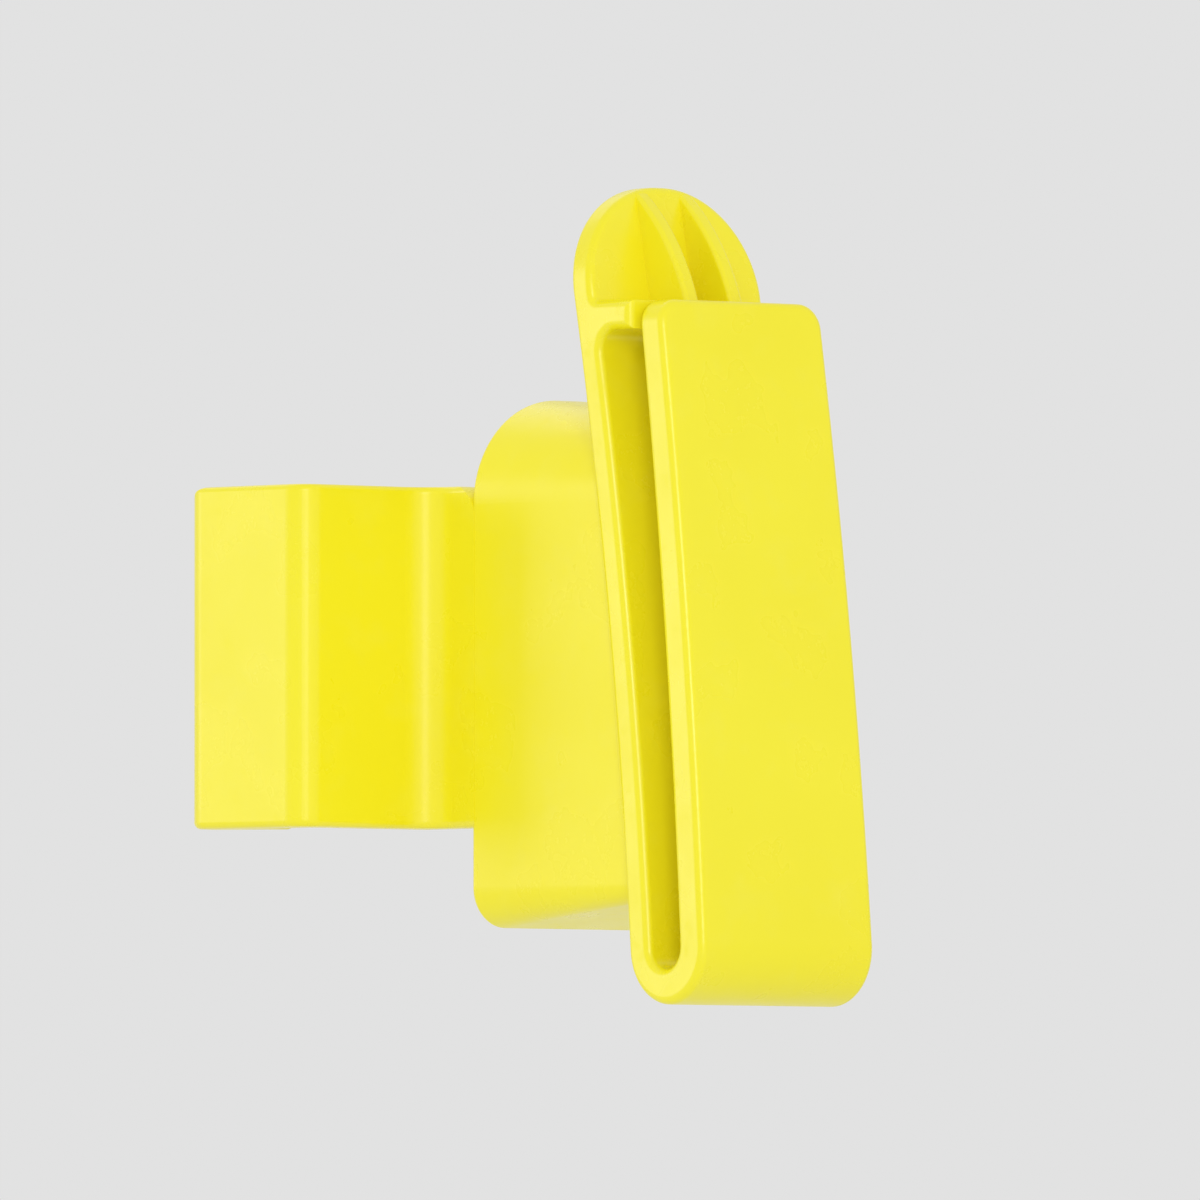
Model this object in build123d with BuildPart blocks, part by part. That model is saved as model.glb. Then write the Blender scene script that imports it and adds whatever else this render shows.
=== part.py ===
"""Clip-on fence insulator that holds a 38 mm electric tape in front of a steel T-post.

Frame: millimetres, origin at the centre of the saddle's rear face, which lies on the post's face.
+Z runs up the post, -Y points away from the post towards the tape, +X is to the right seen from
the front. The insulator is one moulding, cut here into its members where it bends and where one
member ends on the next.
"""

from build123d import *
from math import cos, radians, sin
import os

os.makedirs("parts", exist_ok=True)

# Loop around the tape: rear plate, U-bend and front bar are one strap, leaning back as it rises
LOOP_LEAN = 4.0              # lean of the strap at the bend, degrees
BEND_CENTRE_Y = -28.65
BEND_CENTRE_Z = -21.65
BEND_INNER_R = 1.65
BEND_PLATE_WALL = 2.35       # the bend thickens from the plate's wall to the bar's
BEND_BAR_WALL = 2.85
PLATE_WIDTH = 16.6
BAR_TOP_WIDTH = 15.5
BAR_REAR_Y = -25.0           # rear face of the bar at its top
BAR_WALL = 2.7
BAR_CORNER_R = 1.9
TAB_TOP = 34.4
TAB_FRONT_Y = -18.85         # front face of the tab at its top
TAB_WALL = 2.3
TAB_FLAT = 0.6               # short flat at the top of the tab's arch
STRAP_EDGE_R = 0.6

# Latch above the tape: shelf, thumb tab and ribs
FLEX_Z = 22.5                # height at which the latch bends away from the rear plate
SHELF_TOP = 25.7
SHELF_WALL = 2.1
SHELF_UNDER = SHELF_TOP - SHELF_WALL
NOSE_GAP = 0.1               # between the shelf's nose and the bar
TAB_ROOT_R = 0.5
SHELF_UNDER_R = 1.5
LIP_SETBACK = 0.2
LIP_WALL = 1.0
LIP_DEPTH = 1.0
CATCH_GAP = 0.3
RIB_COUNT = 2
RIB_PITCH = 4.2
RIB_WALL = 1.3
RIB_EDGE_R = 0.35
RIB_FOOT = (-24.85, SHELF_TOP)      # side-view points (Y, Z) of the ribs' rim
RIB_CROWN = (-22.6, 30.1)
RIB_TOP = (-19.0, 33.9)

# Catch on the gate that the lip holds
HOOK_WIDTH = 8.0
HOOK_TOOTH_WALL = 1.0
HOOK_ARM_WALL = 1.5
HOOK_LEAD_IN = 0.5
HOOK_ARM_TOP = SHELF_UNDER - LIP_DEPTH - CATCH_GAP

# Hollow neck that stands the loop off the post
NECK_WIDTH = 18.0
NECK_TOP = 19.1
NECK_BASE = -20.0
NECK_REAR_Y = -7.6
NECK_DRAFT = 6.0
NECK_WALL = 2.2
NECK_CROWN_R = 7.9           # top corners, which leave a short flat crown
NECK_CORNER_R = 3.0
STUD_LEDGE_WALL = 2.4
NECK_EDGE_R = 0.4
NECK_INNER_WIDTH = NECK_WIDTH - 2 * NECK_WALL
LEG_END_Y = NECK_REAR_Y - NECK_EDGE_R    # the saddle's legs run through the neck's rounded rim

# Saddle and claws around the post's flange, which is 35 mm wide
CLAMP_HEIGHT = 25.2
WING_WALL = 3.0
LEG_FILLET_R = 2.5
SPLIT_X = 17.6               # where each claw bends away from its wing
CHANNEL_HALF_WIDTH = 17.9
CHANNEL_DEPTH = 4.3
BARB_X = 15.4
BARB_UNDERCUT = 0.2
BARB_LEAD_IN = 0.5
BARB_NOSE = 1.0
CLAW_ROOT_X = 21.2
CLAW_TIP_X = 22.3
CLAW_TIP_WALL = 3.0
CLAW_REAR_Y = 9.8
CLAW_CORNER_R = 2.0
CLAMP_EDGE_R = 0.5
CLAW_TIP_R = 2.5

WHOLE = 80.0                 # longer than the clip, for cuts right through it
SIDE_FACE_TILT = 0.5         # least sideways part of the normal of a face that counts as a side

# Directions in side view (Y, Z) at the bend: up along the strap, and across it to the post
UP = (sin(radians(LOOP_LEAN)), cos(radians(LOOP_LEAN)))
ACROSS = (cos(radians(LOOP_LEAN)), -sin(radians(LOOP_LEAN)))
BEND_PLANE = Plane(origin=(0, BEND_CENTRE_Y, BEND_CENTRE_Z), x_dir=(1, 0, 0), z_dir=(0, *UP))
FLEX_PLANE = Plane.XY.offset(FLEX_Z)
TAB_REAR_Y = TAB_FRONT_Y + TAB_WALL
BAR_FRONT_Y = BAR_REAR_Y - BAR_WALL
NOSE_Y = BAR_REAR_Y + NOSE_GAP
LIP_FRONT_Y = NOSE_Y + LIP_SETBACK

# Distances from the bend's centre to the strap's faces, positive to the post
PLATE_REAR = BEND_INNER_R + BEND_PLATE_WALL
BAR_FRONT = -BEND_INNER_R - BEND_BAR_WALL
OUTER_CENTRE = (PLATE_REAR + BAR_FRONT) / 2
BEND_OUTER_R = (PLATE_REAR - BAR_FRONT) / 2


def strap_point(across, down=0.0):
    """Side-view point at distances from the bend's centre: across to the post, and down the strap."""
    return (BEND_CENTRE_Y + ACROSS[0] * across - UP[0] * down,
            BEND_CENTRE_Z + ACROSS[1] * across - UP[1] * down)


# Plate from the bend to the tab's top, in side view
with BuildSketch(Plane.YZ) as plate_profile:
    with BuildLine():
        TangentArc(strap_point(BEND_INNER_R), (TAB_FRONT_Y, TAB_TOP), tangent=UP)
        Line((TAB_FRONT_Y, TAB_TOP), (TAB_REAR_Y, TAB_TOP))
        TangentArc(strap_point(PLATE_REAR), (TAB_REAR_Y, TAB_TOP), tangent=UP)
        Line(strap_point(PLATE_REAR), strap_point(BEND_INNER_R))
    make_face()

# Space behind the plate, in side view, back to the neck's rim
with BuildSketch(Plane.YZ) as behind_plate_profile:
    with BuildLine():
        TangentArc(strap_point(PLATE_REAR), (TAB_REAR_Y, TAB_TOP), tangent=UP)
        Polyline((TAB_REAR_Y, TAB_TOP), (NECK_REAR_Y, TAB_TOP), (NECK_REAR_Y, BEND_CENTRE_Z),
                 strap_point(PLATE_REAR))
    make_face()

# Bar from the bend to its flat top, in side view
with BuildSketch(Plane.YZ) as bar_profile:
    with BuildLine():
        TangentArc(strap_point(-BEND_INNER_R), (BAR_REAR_Y, SHELF_TOP), tangent=UP)
        Line((BAR_REAR_Y, SHELF_TOP), (BAR_FRONT_Y, SHELF_TOP))
        TangentArc(strap_point(BAR_FRONT), (BAR_FRONT_Y, SHELF_TOP), tangent=UP)
        Line(strap_point(BAR_FRONT), strap_point(-BEND_INNER_R))
    make_face()

# The whole strap in side view: plate, shelf, bend and bar
with BuildSketch(Plane.YZ) as strap_profile:
    add(plate_profile.sketch_local)
    add(bar_profile.sketch_local)
    with BuildLine():
        ThreePointArc(strap_point(BEND_INNER_R), strap_point(0, BEND_INNER_R),
                      strap_point(-BEND_INNER_R))
        Line(strap_point(-BEND_INNER_R), strap_point(BAR_FRONT))
        ThreePointArc(strap_point(BAR_FRONT), strap_point(OUTER_CENTRE, BEND_OUTER_R),
                      strap_point(PLATE_REAR))
        Line(strap_point(PLATE_REAR), strap_point(BEND_INNER_R))
    make_face()
    with Locations((NOSE_Y, SHELF_UNDER)):
        Rectangle(TAB_FRONT_Y - NOSE_Y, SHELF_WALL, align=(Align.MIN, Align.MIN))
    tab_root = strap_profile.vertices().sort_by_distance((TAB_FRONT_Y, SHELF_TOP))[0]
    fillet(tab_root, TAB_ROOT_R)
    under_corner = strap_profile.vertices().sort_by_distance((TAB_FRONT_Y, SHELF_UNDER))[0]
    fillet(under_corner, SHELF_UNDER_R)

# The strap in front view: straight sides, and a half circle over the tab
with BuildPart() as strap:
    with BuildSketch(Plane.YZ.offset(-PLATE_WIDTH)):
        add(strap_profile.sketch_local)
    extrude(amount=2 * PLATE_WIDTH)
    with BuildSketch(Plane.XZ):
        with Locations((0, TAB_TOP)):
            front_outline = Rectangle(PLATE_WIDTH, WHOLE, align=(Align.CENTER, Align.MAX))
        fillet(front_outline.vertices().group_by(Axis.Y)[-1], PLATE_WIDTH / 2 - TAB_FLAT / 2)
    extrude(amount=WHOLE, mode=Mode.INTERSECT)
    side_faces = strap.faces().filter_by(
        lambda face: abs(face.normal_at(face.center()).X) > SIDE_FACE_TILT)
    side_edges = ShapeList(edge for face in side_faces for edge in face.edges())
    dome = strap.faces().sort_by(Axis.Z)[-1]
    fillet(side_edges + dome.edges(), STRAP_EDGE_R)

# Upper rear part of the strap: the plate, with the latch at its top
with BuildPart() as above_bend:
    add(strap.part)
    split(bisect_by=BEND_PLANE, keep=Keep.TOP)
rear_half = above_bend.solids().sort_by(Axis.Y)[-1]

with BuildPart() as hinge_bend:
    add(strap.part)
    split(bisect_by=BEND_PLANE, keep=Keep.BOTTOM)
hinge_bend.part.label = "hinge_bend"
export_step(hinge_bend.part, "parts/hinge_bend.step")

# Bar in front of the tape: as wide as the bend at its foot, narrower at its top
with BuildPart() as tape_gate:
    with BuildSketch(Plane.YZ.offset(-PLATE_WIDTH)):
        add(bar_profile.sketch_local)
    extrude(amount=2 * PLATE_WIDTH)
    with BuildSketch(Plane.XZ):
        with BuildLine():
            Polyline((-PLATE_WIDTH / 2, BEND_CENTRE_Z), (PLATE_WIDTH / 2, BEND_CENTRE_Z),
                     (BAR_TOP_WIDTH / 2, SHELF_TOP), (-BAR_TOP_WIDTH / 2, SHELF_TOP), close=True)
        make_face()
    extrude(amount=WHOLE, mode=Mode.INTERSECT)
    bar_top = tape_gate.faces().sort_by(Axis.Z)[-1]
    fillet(bar_top.edges().filter_by(Axis.Y), BAR_CORNER_R)
    foot_edges = tape_gate.faces().sort_by(Axis.Z)[0].edges()
    fillet(tape_gate.edges() - foot_edges, STRAP_EDGE_R)
tape_gate.part.label = "tape_gate"
export_step(tape_gate.part, "parts/tape_gate.step")

with BuildPart() as rear_plate:
    add(rear_half)
    split(bisect_by=FLEX_PLANE, keep=Keep.BOTTOM)
rear_plate.part.label = "rear_plate"
export_step(rear_plate.part, "parts/rear_plate.step")

with BuildPart() as latch:
    add(rear_half)
    split(bisect_by=FLEX_PLANE, keep=Keep.TOP)

# Thumb tab: the part of the latch that carries on the plate's own curve
with BuildPart() as thumb_tab:
    add(latch.part)
    with BuildSketch(Plane.YZ.offset(-PLATE_WIDTH)):
        add(plate_profile.sketch_local)
    extrude(amount=2 * PLATE_WIDTH, mode=Mode.INTERSECT)
thumb_tab.part.label = "thumb_tab"
export_step(thumb_tab.part, "parts/thumb_tab.step")

# Shelf over the tape, with a lip under its nose that holds the gate's hook
with BuildPart() as latch_shelf:
    add(latch.part)
    add(thumb_tab.part, mode=Mode.SUBTRACT)
    with BuildSketch(Plane.YZ.offset(-HOOK_WIDTH / 2)):
        with BuildLine():
            lip_rear_y = LIP_FRONT_Y + LIP_WALL
            Polyline((LIP_FRONT_Y, SHELF_UNDER), (LIP_FRONT_Y, SHELF_UNDER - LIP_DEPTH / 2),
                     (LIP_FRONT_Y + LIP_WALL / 2, SHELF_UNDER - LIP_DEPTH),
                     (lip_rear_y, SHELF_UNDER - LIP_DEPTH), (lip_rear_y, SHELF_UNDER), close=True)
        make_face()
    extrude(amount=HOOK_WIDTH)
latch_shelf.part.label = "latch_shelf"
export_step(latch_shelf.part, "parts/latch_shelf.step")

# Two ribs from the shelf up to the tab's top, each with a curved rim
with BuildPart() as tab_ribs:
    for column in range(RIB_COUNT):
        rib_x = (column - (RIB_COUNT - 1) / 2) * RIB_PITCH
        with BuildSketch(Plane.YZ.offset(rib_x - RIB_WALL / 2)):
            with BuildLine():
                ThreePointArc(RIB_FOOT, RIB_CROWN, RIB_TOP)
                Polyline(RIB_TOP, (TAB_FRONT_Y + TAB_WALL / 2, RIB_TOP[1]),
                         (TAB_FRONT_Y, SHELF_TOP - SHELF_WALL / 2),
                         (RIB_FOOT[0], SHELF_TOP - SHELF_WALL / 2), RIB_FOOT)
            make_face()
        extrude(amount=RIB_WALL)
    rims = tab_ribs.faces().filter_by(GeomType.CYLINDER)
    fillet(rims.edges().filter_by(GeomType.CIRCLE), RIB_EDGE_R)
    add(thumb_tab.part, mode=Mode.SUBTRACT)
    add(latch_shelf.part, mode=Mode.SUBTRACT)
tab_ribs.part.label = "tab_ribs"
export_step(tab_ribs.part, "parts/tab_ribs.step")

# Catch on the gate: an arm under the lip with a tooth behind it
with BuildPart() as gate_hook:
    with BuildSketch(Plane.YZ.offset(-HOOK_WIDTH / 2)):
        with BuildLine():
            tooth_front = LIP_FRONT_Y + LIP_WALL + CATCH_GAP
            tooth_rear = tooth_front + HOOK_TOOTH_WALL
            arm_root = BAR_REAR_Y - BAR_WALL / 2
            arm_bottom = HOOK_ARM_TOP - HOOK_ARM_WALL
            tooth_top = SHELF_UNDER - CATCH_GAP
            Polyline((arm_root, arm_bottom), (tooth_front, arm_bottom),
                     (tooth_rear, HOOK_ARM_TOP - HOOK_ARM_WALL / 2),
                     (tooth_rear, tooth_top - HOOK_LEAD_IN), (tooth_rear - HOOK_LEAD_IN, tooth_top),
                     (tooth_front, tooth_top), (tooth_front, HOOK_ARM_TOP), (arm_root, HOOK_ARM_TOP),
                     close=True)
        make_face()
    extrude(amount=HOOK_WIDTH)
    add(tape_gate.part, mode=Mode.SUBTRACT)
gate_hook.part.label = "gate_hook"
export_step(gate_hook.part, "parts/gate_hook.step")

# Right half of the clamp around the post's flange: leg, wing and claw in one
with BuildPart() as clamp:
    with BuildSketch(Plane.XY.offset(-CLAMP_HEIGHT / 2)) as clamp_plan:
        leg_inner_x = NECK_INNER_WIDTH / 2
        leg_outer_x = NECK_WIDTH / 2
        with BuildLine():
            Polyline((leg_inner_x, 0), (CHANNEL_HALF_WIDTH, 0), (CHANNEL_HALF_WIDTH, CHANNEL_DEPTH),
                     (BARB_X + BARB_LEAD_IN, CHANNEL_DEPTH + BARB_UNDERCUT),
                     (BARB_X, CHANNEL_DEPTH + BARB_NOSE),
                     (CLAW_TIP_X - CLAW_TIP_WALL, CLAW_REAR_Y), (CLAW_TIP_X, CLAW_REAR_Y),
                     (CLAW_ROOT_X, -WING_WALL), (leg_outer_x, -WING_WALL),
                     (leg_outer_x, LEG_END_Y), (leg_inner_x, LEG_END_Y), close=True)
        make_face()
        wing_corner = clamp_plan.vertices().sort_by_distance((leg_outer_x, -WING_WALL))[0]
        fillet(wing_corner, LEG_FILLET_R)
        root_corner = clamp_plan.vertices().sort_by_distance((CLAW_ROOT_X, -WING_WALL))[0]
        fillet(root_corner, CLAW_CORNER_R)
        tip_corner = clamp_plan.vertices().sort_by_distance((CLAW_TIP_X, CLAW_REAR_Y))[0]
        fillet(tip_corner, CLAW_CORNER_R)
    extrude(amount=CLAMP_HEIGHT)
    end_edges = clamp.faces().filter_by(Axis.Z).edges()
    fillet(end_edges.filter_by(lambda edge: edge.center().Y > NECK_REAR_Y + CLAMP_EDGE_R), CLAMP_EDGE_R)
    with BuildSketch(Plane.YZ) as clamp_side:
        with Locations(((CLAW_REAR_Y + LEG_END_Y) / 2, 0)):
            Rectangle(CLAW_REAR_Y - LEG_END_Y, CLAMP_HEIGHT)
        fillet(clamp_side.vertices().group_by(Axis.Y)[-1], CLAW_TIP_R)
    extrude(amount=2 * CLAW_TIP_X, mode=Mode.INTERSECT)

# Saddle: both legs and wings, joined by a bar that rests on the post's stud
with BuildPart() as saddle:
    add(clamp.part)
    with Locations((SPLIT_X, CHANNEL_DEPTH / 2, 0)):
        Box(WHOLE, WHOLE, WHOLE, align=(Align.MAX, Align.MAX, Align.CENTER), mode=Mode.INTERSECT)
    mirror(about=Plane.YZ)
    with Locations((0, NECK_REAR_Y / 2, 0)):
        Box(NECK_INNER_WIDTH, -NECK_REAR_Y, STUD_LEDGE_WALL)
saddle.part.label = "saddle"
export_step(saddle.part, "parts/saddle.step")


def neck_outline(inset):
    """Front view of the neck at its rear rim, drawn in by the inset all round."""
    with BuildSketch() as outline:
        with Locations((0, (NECK_TOP + NECK_BASE) / 2)):
            Rectangle(NECK_WIDTH - 2 * inset, NECK_TOP - NECK_BASE - 2 * inset)
        fillet(outline.vertices().group_by(Axis.Y)[0], NECK_CORNER_R - inset)
        fillet(outline.vertices().group_by(Axis.Y)[-1], NECK_CROWN_R - inset)
    return outline.sketch_local


with BuildPart() as standoff_neck:
    with BuildSketch(Plane.XZ.offset(-NECK_REAR_Y)):
        add(neck_outline(0))
    extrude(amount=-BAR_FRONT_Y, taper=NECK_DRAFT)
    rim = standoff_neck.faces().sort_by(Axis.Y)[-1]
    fillet(rim.edges().sort_by(Axis.Z)[-1], NECK_EDGE_R)
    with BuildSketch(Plane.XZ.offset(-NECK_REAR_Y)):
        add(neck_outline(NECK_WALL))
    extrude(amount=-BAR_FRONT_Y, taper=NECK_DRAFT, mode=Mode.SUBTRACT)
    with BuildSketch(Plane.XZ.offset(-NECK_REAR_Y)):
        Rectangle(NECK_INNER_WIDTH + NECK_WALL / 2, STUD_LEDGE_WALL)
    extrude(amount=-BAR_FRONT_Y)
    with BuildSketch(Plane.YZ.offset(-NECK_WIDTH)):
        add(behind_plate_profile.sketch_local)
    extrude(amount=2 * NECK_WIDTH, mode=Mode.INTERSECT)
    add(saddle.part, mode=Mode.SUBTRACT)
standoff_neck.part.label = "standoff_neck"
export_step(standoff_neck.part, "parts/standoff_neck.step")

with BuildPart() as right_claw:
    add(clamp.part)
    add(saddle.part, mode=Mode.SUBTRACT)
right_claw.part.label = "right_claw"
export_step(right_claw.part, "parts/right_claw.step")

with BuildPart() as left_claw:
    add(right_claw.part)
    mirror(about=Plane.YZ, mode=Mode.REPLACE)
left_claw.part.label = "left_claw"
export_step(left_claw.part, "parts/left_claw.step")
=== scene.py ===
"""Yellow T-post fence insulator, seen from its front left, in a plain pale studio."""

from math import cos, pi, radians, sin

import bmesh
import bpy
from mathutils import Matrix, Vector


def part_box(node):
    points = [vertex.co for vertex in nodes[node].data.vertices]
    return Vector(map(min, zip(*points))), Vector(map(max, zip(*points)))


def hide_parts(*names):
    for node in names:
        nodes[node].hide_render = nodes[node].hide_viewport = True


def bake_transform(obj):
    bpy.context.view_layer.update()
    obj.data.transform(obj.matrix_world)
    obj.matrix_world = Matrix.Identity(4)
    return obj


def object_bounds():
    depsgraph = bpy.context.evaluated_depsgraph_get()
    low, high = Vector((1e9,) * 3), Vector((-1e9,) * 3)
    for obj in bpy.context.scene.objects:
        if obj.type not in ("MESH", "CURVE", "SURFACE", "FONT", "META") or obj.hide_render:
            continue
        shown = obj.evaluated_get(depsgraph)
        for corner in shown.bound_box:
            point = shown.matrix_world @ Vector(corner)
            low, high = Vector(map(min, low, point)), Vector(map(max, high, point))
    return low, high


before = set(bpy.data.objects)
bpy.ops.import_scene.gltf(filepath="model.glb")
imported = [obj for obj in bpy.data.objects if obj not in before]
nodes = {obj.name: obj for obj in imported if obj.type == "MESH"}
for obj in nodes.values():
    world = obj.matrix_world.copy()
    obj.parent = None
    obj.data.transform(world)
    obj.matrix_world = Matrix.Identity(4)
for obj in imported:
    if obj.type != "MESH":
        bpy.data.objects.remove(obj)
cad_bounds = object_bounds()

MM = 0.001

# The loop's U-bend, in side view (Y, Z): a strap that thickens from the plate's end to the bar's
BEND_CENTRE = Vector((0.0, -28.65, -21.65)) * MM
LOOP_LEAN = radians(4.0)
ACROSS = Vector((0.0, cos(LOOP_LEAN), -sin(LOOP_LEAN)))  # from the bar to the rear plate
UP = Vector((0.0, sin(LOOP_LEAN), cos(LOOP_LEAN)))       # up along the strap
BEND_INNER_R = 1.65 * MM
BEND_OUTER_R = 4.25 * MM
OUTER_CENTRE = BEND_CENTRE - ACROSS * 0.25 * MM          # the outer arc's, nearer to the bar
STRAP_EDGE_R = 0.6 * MM
STRAP_HALF_WIDTH = 8.3 * MM
BEND_RINGS = 73             # sections round the bend, both ends included
BEND_CORNER_STEPS = 6       # faces round each corner of a section

# The bend unrolls in three sectors, so that the turn is spread along it. Each ray is a ring's
# number and the rate, per metre from the centre, at which the gate's share grows along it
BEND_RAYS = ((0, -0.290 / MM), (20, -0.122 / MM), (52, 0.122 / MM), (72, 0.290 / MM))

# Where the other members bend
LATCH_BEND = (20.4 * MM, 23.7 * MM)     # heights between which the plate bends
LATCH_LOOPS = 23
CLAW_ROOT_X = 17.6 * MM
CLAW_BEND = 1.4 * MM                    # reach of the bend, along X and Y
CLAW_LOOPS = 15
CUT_MARGIN = 0.05 * MM                  # no cut lies nearer to a piece's end

# Meshes of the pieces that bend
MERGE_DISTANCE = 0.0005 * MM
CUT_TOLERANCE = 0.001 * MM
SHARP_ANGLE = radians(35.0)             # an edge that turns more is a hard corner

FLOOR_DROP = 70.0 * MM                  # from the object's lowest point to the floor
FLOOR_RADIUS = 15.0

# Sockets of the Mix node when it mixes colours
MIX_FACTOR, MIX_FIRST, MIX_SECOND, MIX_RESULT = 0, 6, 7, 2


# ---------------------------------------------------------------- camera
def direction(azimuth, elevation):
    """Direction from the object; azimuth 0 is the front, -90 the left."""
    turn, rise = radians(azimuth), radians(elevation)
    return Vector((sin(turn) * cos(rise), -cos(turn) * cos(rise), sin(rise)))


def make_camera(azimuth, elevation, lens, distance):
    """Long-lens camera aimed at the middle of the object."""
    low, high = cad_bounds
    centre = (low + high) / 2
    back = direction(azimuth, elevation)
    camera = bpy.data.objects.new("camera", bpy.data.cameras.new("camera"))
    bpy.context.scene.collection.objects.link(camera)
    camera.data.lens = lens
    camera.data.sensor_width = 36.0
    camera.data.clip_start, camera.data.clip_end = 0.05, 20.0
    aim = (-back).to_track_quat("-Z", "Y").to_matrix().to_4x4()
    camera.matrix_world = Matrix.Translation(centre + back * distance) @ aim
    bpy.context.scene.camera = camera


make_camera(azimuth=-40.0, elevation=-2.0, lens=700.0, distance=1.72)


# ---------------------------------------------------------------- node helpers
def new_material(name):
    """Empty node material with a Principled shader wired to the output."""
    material = bpy.data.materials.new(name)
    material.use_nodes = True
    tree = material.node_tree
    tree.nodes.clear()
    output = tree.nodes.new("ShaderNodeOutputMaterial")
    shader = tree.nodes.new("ShaderNodeBsdfPrincipled")
    tree.links.new(shader.outputs["BSDF"], output.inputs["Surface"])
    return material, tree, shader


def noise(tree, vector, scale, detail, roughness=0.5):
    """Noise texture whose scale is in cycles per metre."""
    node = tree.nodes.new("ShaderNodeTexNoise")
    node.inputs["Scale"].default_value = scale
    node.inputs["Detail"].default_value = detail
    node.inputs["Roughness"].default_value = roughness
    tree.links.new(vector, node.inputs["Vector"])
    return node.outputs["Fac"]


def remap(tree, value, low, high, to_low, to_high):
    """Maps a value's range onto another, clamped."""
    node = tree.nodes.new("ShaderNodeMapRange")
    tree.links.new(value, node.inputs["Value"])
    limits = {"From Min": low, "From Max": high, "To Min": to_low, "To Max": to_high}
    for socket, number in limits.items():
        node.inputs[socket].default_value = number
    return node.outputs["Result"]


def math_node(tree, operation, first, second):
    """One math node; each input is a socket or a number."""
    node = tree.nodes.new("ShaderNodeMath")
    node.operation = operation
    for index, value in enumerate((first, second)):
        if isinstance(value, (int, float)):
            node.inputs[index].default_value = value
        else:
            tree.links.new(value, node.inputs[index])
    return node.outputs["Value"]


def mix_colour(tree, factor, first, second):
    """Mix of two colours by a socket's value; each colour is a socket or a tuple."""
    node = tree.nodes.new("ShaderNodeMix")
    node.data_type = "RGBA"
    tree.links.new(factor, node.inputs[MIX_FACTOR])
    for index, value in ((MIX_FIRST, first), (MIX_SECOND, second)):
        if isinstance(value, tuple):
            node.inputs[index].default_value = value
        else:
            tree.links.new(value, node.inputs[index])
    return node.outputs[MIX_RESULT]


# ---------------------------------------------------------------- materials
def moulded_yellow():
    """Semi-gloss yellow polyethylene with flow marks, chalky patches, scuffs and tool texture."""
    material, tree, shader = new_material("yellow_polyethylene")
    place = tree.nodes.new("ShaderNodeTexCoord").outputs["Object"]
    clear = (0.940, 0.850, 0.014, 1.0)
    deep = (0.920, 0.820, 0.008, 1.0)
    chalk = (0.935, 0.870, 0.110, 1.0)
    clouds = noise(tree, place, scale=70.0, detail=2.0)
    flow = remap(tree, clouds, 0.35, 0.70, 0.0, 0.8)
    colour = mix_colour(tree, flow, clear, deep)
    patches = noise(tree, place, scale=300.0, detail=4.0, roughness=0.6)
    weathered = remap(tree, patches, 0.52, 0.78, 0.0, 0.16)
    colour = mix_colour(tree, weathered, colour, chalk)
    tree.links.new(colour, shader.inputs["Base Color"])

    polish = noise(tree, place, scale=160.0, detail=3.0)
    gloss = remap(tree, polish, 0.3, 0.7, 0.24, 0.34)
    marks = noise(tree, place, scale=900.0, detail=5.0, roughness=0.7)
    scuff = remap(tree, marks, 0.56, 0.72, 0.0, 0.12)
    rough = math_node(tree, "ADD", gloss, scuff)
    tree.links.new(rough, shader.inputs["Roughness"])

    grain = noise(tree, place, scale=5200.0, detail=2.0)
    tool = math_node(tree, "MULTIPLY", grain, 0.40)
    ripple = noise(tree, place, scale=420.0, detail=2.0)
    bump = tree.nodes.new("ShaderNodeBump")
    bump.inputs["Strength"].default_value = 0.20
    bump.inputs["Distance"].default_value = 0.05 * MM
    tree.links.new(math_node(tree, "ADD", tool, ripple), bump.inputs["Height"])
    tree.links.new(bump.outputs["Normal"], shader.inputs["Normal"])

    shader.inputs["IOR"].default_value = 1.52
    shader.inputs["Specular IOR Level"].default_value = 0.5
    return material


def studio_white():
    """Matte off-white floor with a faint mottle."""
    material, tree, shader = new_material("studio_floor")
    place = tree.nodes.new("ShaderNodeTexCoord").outputs["Object"]
    mottle = remap(tree, noise(tree, place, scale=6.0, detail=2.0), 0.3, 0.7, 0.0, 1.0)
    colour = mix_colour(tree, mottle, (0.90, 0.90, 0.895, 1.0), (0.92, 0.92, 0.915, 1.0))
    tree.links.new(colour, shader.inputs["Base Color"])
    shader.inputs["Roughness"].default_value = 0.8
    shader.inputs["Specular IOR Level"].default_value = 0.3
    return material


yellow = moulded_yellow()


# ---------------------------------------------------------------- pieces that bend
def shaded_object(mesh, name):
    """Object made from a bmesh, smooth between hard corners and flat on its large faces."""
    mesh.normal_update()
    for face in mesh.faces:
        face.smooth = True
    for edge in mesh.edges:
        edge.smooth = edge.calc_face_angle(pi) < SHARP_ANGLE
    data = bpy.data.meshes.new(name)
    mesh.to_mesh(data)
    mesh.free()
    if "custom_normal" in data.attributes:
        data.attributes.remove(data.attributes["custom_normal"])
    piece = bpy.data.objects.new(name, data)
    bpy.context.scene.collection.objects.link(piece)
    weighting = piece.modifiers.new("weighted_normals", "WEIGHTED_NORMAL")
    weighting.keep_sharp = True
    weighting.weight = 100
    depsgraph = bpy.context.evaluated_depsgraph_get()
    evaluated = piece.evaluated_get(depsgraph)
    piece.data = bpy.data.meshes.new_from_object(evaluated, depsgraph=depsgraph)
    piece.modifiers.clear()
    piece.data.name = name
    return piece


def dress(piece, stands_for):
    """Gives a new piece its material and hides the CAD node it stands for."""
    piece.data.materials.clear()
    piece.data.materials.append(yellow)
    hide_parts(stands_for)
    return piece


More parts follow.
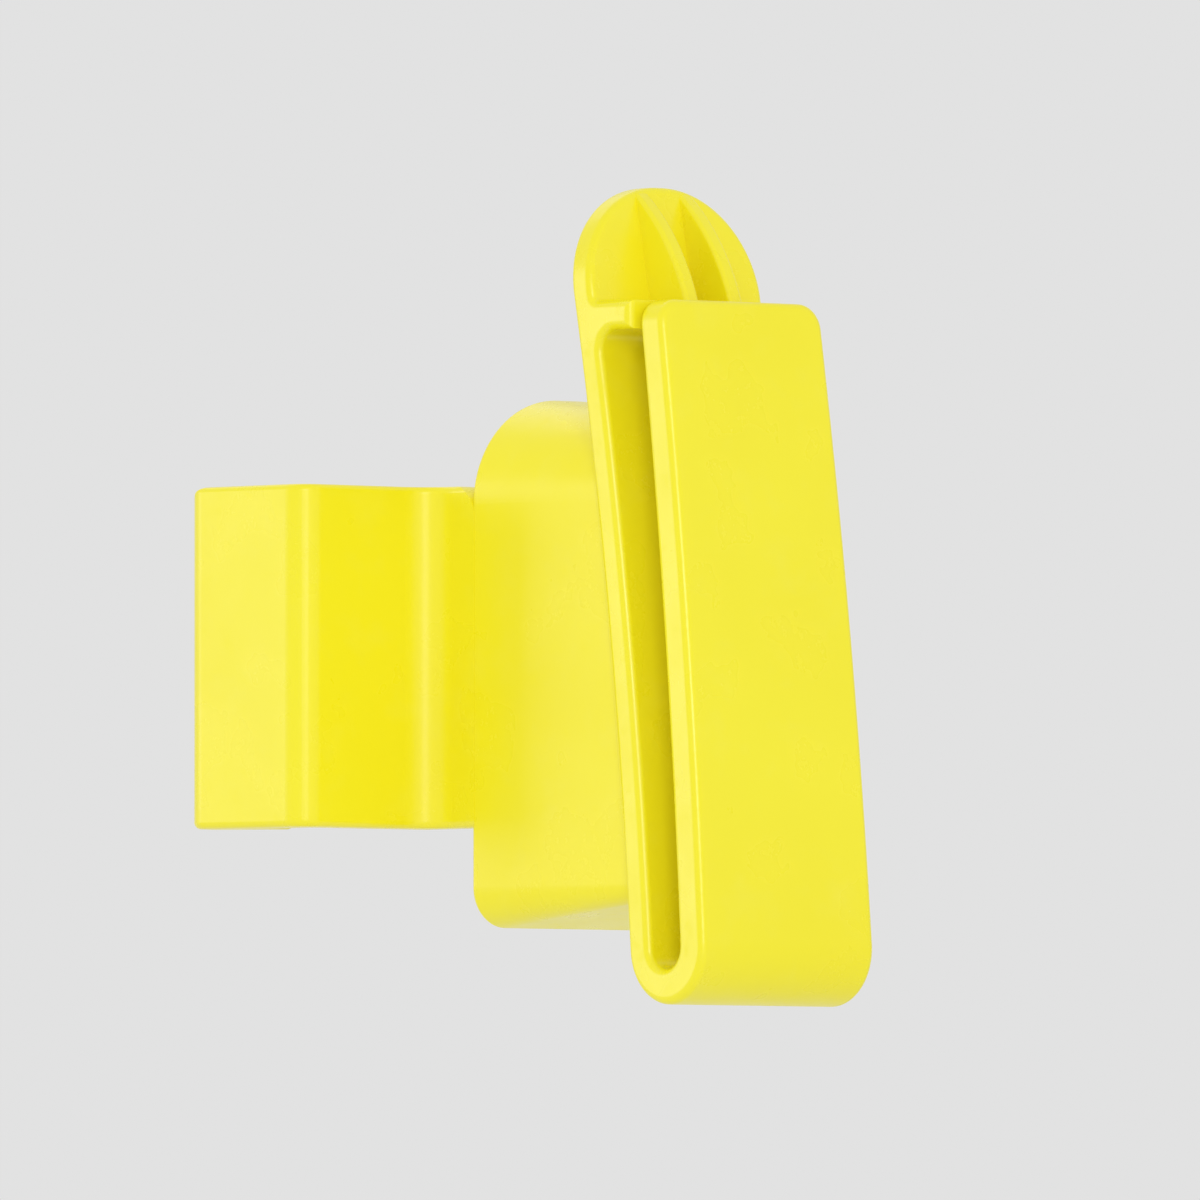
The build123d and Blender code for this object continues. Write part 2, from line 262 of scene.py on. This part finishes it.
def looped_copy(node, name, cuts):
    """Copy of a CAD node that can bend: a loop of edges at each cut, given as (point, normal)."""
    mesh = bmesh.new()
    mesh.from_mesh(nodes[node].data)
    bmesh.ops.remove_doubles(mesh, verts=mesh.verts, dist=MERGE_DISTANCE)
    for point, normal in cuts:
        everything = mesh.verts[:] + mesh.edges[:] + mesh.faces[:]
        bmesh.ops.bisect_plane(mesh, geom=everything, dist=CUT_TOLERANCE,
                               plane_co=point, plane_no=normal)
    return dress(shaded_object(mesh, name), node)


def bend_ring(angle):
    """Points round the strap's section and their normals; angle 0 is at the rear plate's end."""
    outward = ACROSS * cos(angle) - UP * sin(angle)
    outer = OUTER_CENTRE + outward * (BEND_OUTER_R - STRAP_EDGE_R)
    inner = BEND_CENTRE + outward * (BEND_INNER_R + STRAP_EDGE_R)
    reach = STRAP_HALF_WIDTH - STRAP_EDGE_R
    quarter = pi / 2
    points, normals = [], []
    for number, (side, corner) in enumerate(((1, outer), (-1, outer), (-1, inner), (1, inner))):
        for step in range(BEND_CORNER_STEPS + 1):
            turn = (number + step / BEND_CORNER_STEPS) * quarter
            normal = outward * sin(turn) + Vector((cos(turn), 0.0, 0.0))
            points.append(Vector((side * reach, corner.y, corner.z)) + normal * STRAP_EDGE_R)
            normals.append(normal)
    return points, normals


def ring_angle(ring):
    """Angle of one of the bend's sections, from the rear plate's end."""
    return pi * ring / (BEND_RINGS - 1)


def bend_sector(name, first, last):
    """Part of the U-bend between two rings, closed at both ends and shaded as the whole is."""
    rings = [bend_ring(ring_angle(ring)) for ring in range(first, last + 1)]
    points = [point for ring, _ in rings for point in ring]
    normals = [normal for _, ring in rings for normal in ring]
    count = len(points) // len(rings)
    last_row = len(points) - count
    faces = []
    for near in range(0, last_row, count):
        far = near + count
        for index in range(count):
            following = (index + 1) % count
            faces.append((near + index, far + index, far + following, near + following))
    walls = len(faces)
    faces.append(tuple(range(count)))
    faces.append(tuple(reversed(range(last_row, len(points)))))

    data = bpy.data.meshes.new(name)
    data.from_pydata(points, [], faces)
    data.shade_smooth()
    corners = []
    for face in data.polygons:
        is_wall = face.index < walls
        corners += [normals[vertex] if is_wall else face.normal.copy()
                    for vertex in face.vertices]
    data.normals_split_custom_set(corners)
    piece = bpy.data.objects.new(name, data)
    bpy.context.scene.collection.objects.link(piece)
    return dress(piece, "hinge_bend")


def evenly(start, end, count):
    """Numbers from start to end, both ends included."""
    return [start + (end - start) * index / (count - 1) for index in range(count)]


for part, near, far in zip(("rear", "middle", "front"), BEND_RAYS, BEND_RAYS[1:]):
    bend = bend_sector("flexing_bend_" + part, near[0], far[0])
    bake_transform(bend)

level = Vector((0.0, 0.0, 1.0))
for node, name in (("rear_plate", "flexing_plate"), ("thumb_tab", "flexing_tab")):
    low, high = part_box(node)
    heights = [z for z in evenly(*LATCH_BEND, LATCH_LOOPS)
               if low.z + CUT_MARGIN < z < high.z - CUT_MARGIN]
    plate = looped_copy(node, name, [(level * z, level) for z in heights])
    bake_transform(plate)

for side, claw in ((-1, "left_claw"), (1, "right_claw")):
    root = Vector((side * CLAW_ROOT_X, 0.0, 0.0))
    reach = Vector((side, 1.0, 0.0)) * CLAW_BEND
    cuts = [(root + reach * share, reach.normalized())
            for share in evenly(0.0, 1.0, CLAW_LOOPS)[1:]]
    arm = looped_copy(claw, "flexing_" + claw, cuts)
    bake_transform(arm)

for node in nodes.values():
    node.data.materials.clear()
    node.data.materials.append(yellow)


# ---------------------------------------------------------------- studio
def make_floor(depth, radius, sides=96):
    """Wide round floor under the object."""
    mesh = bmesh.new()
    turns = [2 * pi * side / sides for side in range(sides)]
    rim = [mesh.verts.new((radius * cos(turn), radius * sin(turn), depth)) for turn in turns]
    mesh.faces.new(rim)
    data = bpy.data.meshes.new("floor")
    mesh.to_mesh(data)
    mesh.free()
    data.materials.append(studio_white())
    floor = bpy.data.objects.new("floor", data)
    bpy.context.scene.collection.objects.link(floor)


def area_light(name, azimuth, elevation, distance, size, power):
    """Square soft light aimed at the object."""
    back = direction(azimuth, elevation)
    light = bpy.data.objects.new(name, bpy.data.lights.new(name, "AREA"))
    light.data.size = size
    light.data.energy = power
    light.location = back * distance
    light.rotation_mode = "QUATERNION"
    light.rotation_quaternion = back.to_track_quat("Z", "Y")
    bpy.context.scene.collection.objects.link(light)


def make_world(colour, strength):
    """Even pale surround."""
    world = bpy.data.worlds.new("studio")
    world.use_nodes = True
    background = world.node_tree.nodes["Background"]
    background.inputs["Color"].default_value = colour
    background.inputs["Strength"].default_value = strength
    bpy.context.scene.world = world


make_floor(cad_bounds[0].z - FLOOR_DROP, FLOOR_RADIUS)
make_world(colour=(1.0, 1.0, 1.0, 1.0), strength=0.76)
area_light("key", azimuth=-36.0, elevation=14.0, distance=1.5, size=0.5, power=4.9)
area_light("fill", azimuth=25.0, elevation=25.0, distance=1.8, size=1.4, power=0.8)
area_light("backdrop", azimuth=-140.0, elevation=8.0, distance=1.5, size=0.6, power=2.4)
area_light("rim", azimuth=160.0, elevation=45.0, distance=1.8, size=1.0, power=1.6)
bpy.context.scene.view_settings.view_transform = "Standard"
